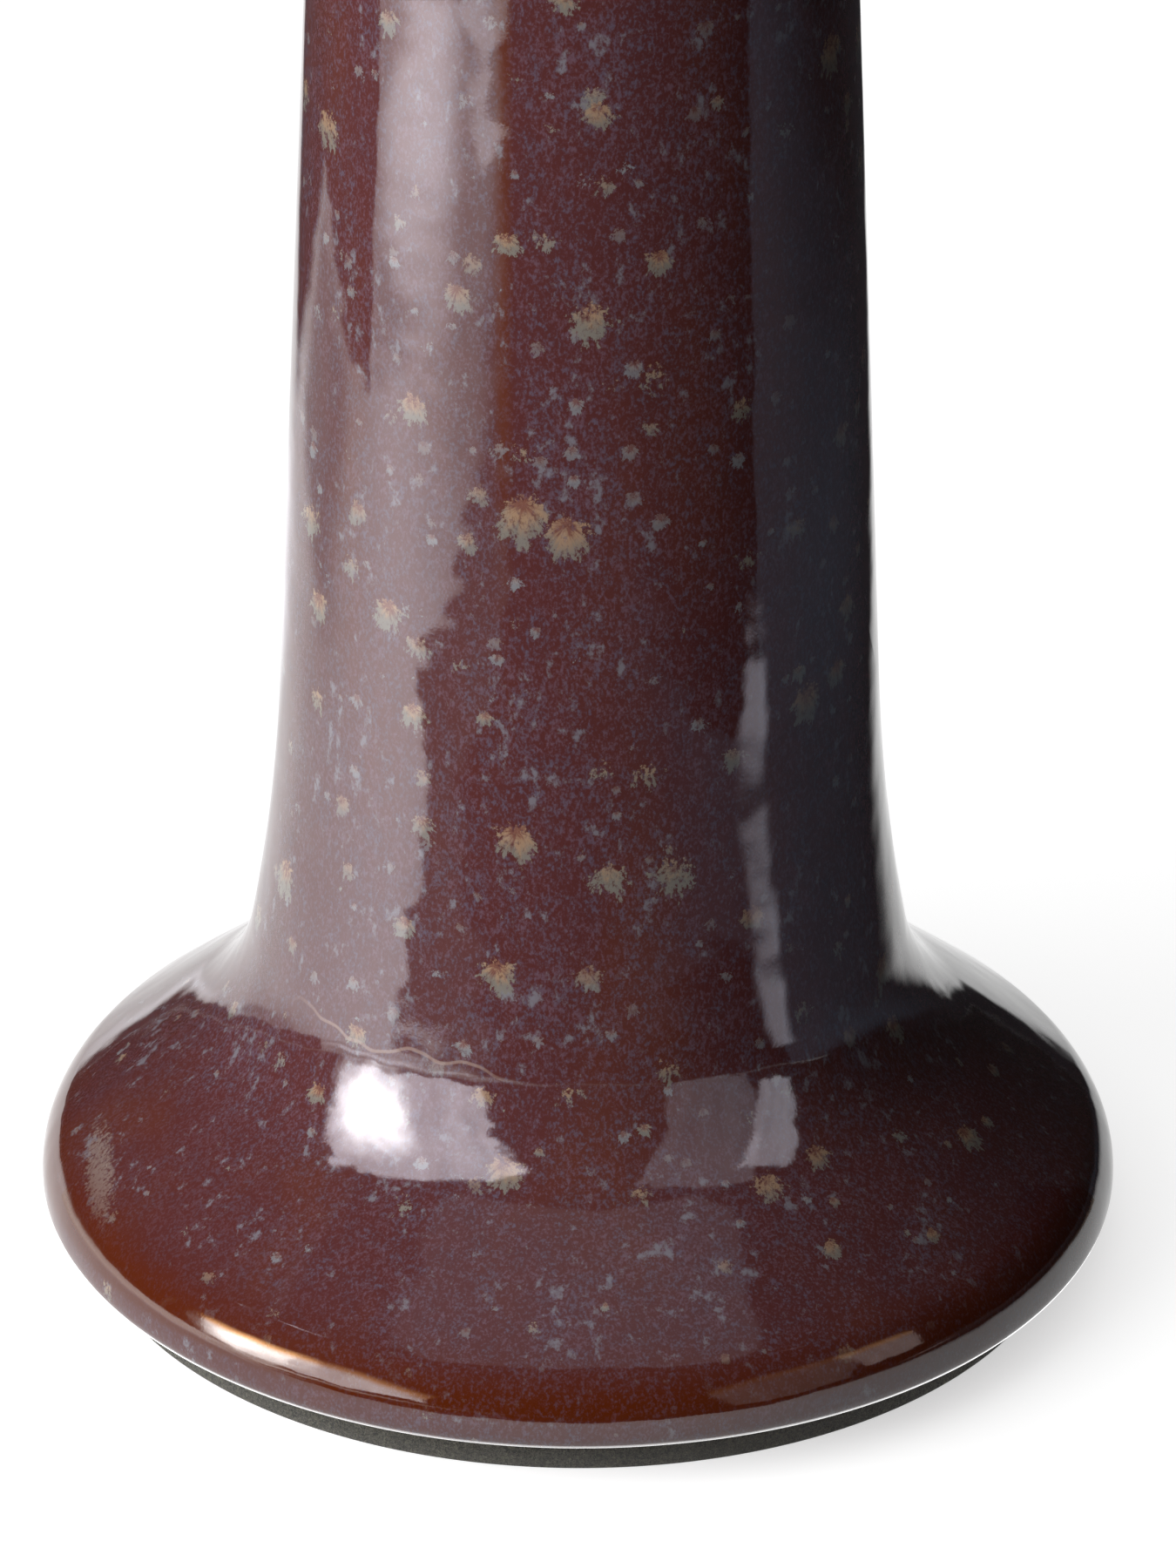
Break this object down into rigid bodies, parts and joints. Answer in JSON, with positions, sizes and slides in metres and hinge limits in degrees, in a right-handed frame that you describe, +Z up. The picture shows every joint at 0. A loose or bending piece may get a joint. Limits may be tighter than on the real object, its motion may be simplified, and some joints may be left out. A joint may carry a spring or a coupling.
{
  "type": "stoneware vase",
  "caption": "Tall stoneware vase: tapering stem sweeping out into a wide domed foot, flared mouth, speckled dark red glaze and a felt pad under the foot.",
  "frame": {"origin": "on the axis of the vase, on the surface that it stands on (the underside of the felt pad)", "axes": "+Z up along the axis of the vase, from the foot to the mouth; the vase is round, so X and Y are free, and the side that the picture shows faces -Y"},
  "size_m": [0.13, 0.13, 0.3],
  "materials": {
    "glazed_stoneware": "glossy fired glaze, dark oxblood red with a fine blue-violet haze and scattered cream spots that run downwards, amber where it thins on the rim; bare clay under the foot",
    "adhesive_film": "thin translucent acrylic film, slightly tacky",
    "wool_felt": "dense pressed felt, fuzzy, near black with an olive cast"
  },
  "bodies": {
    "root": {"stoneware_body": "glazed_stoneware", "pad_adhesive": "adhesive_film", "felt_pad": "wool_felt"}
  },
  "joints": []
}
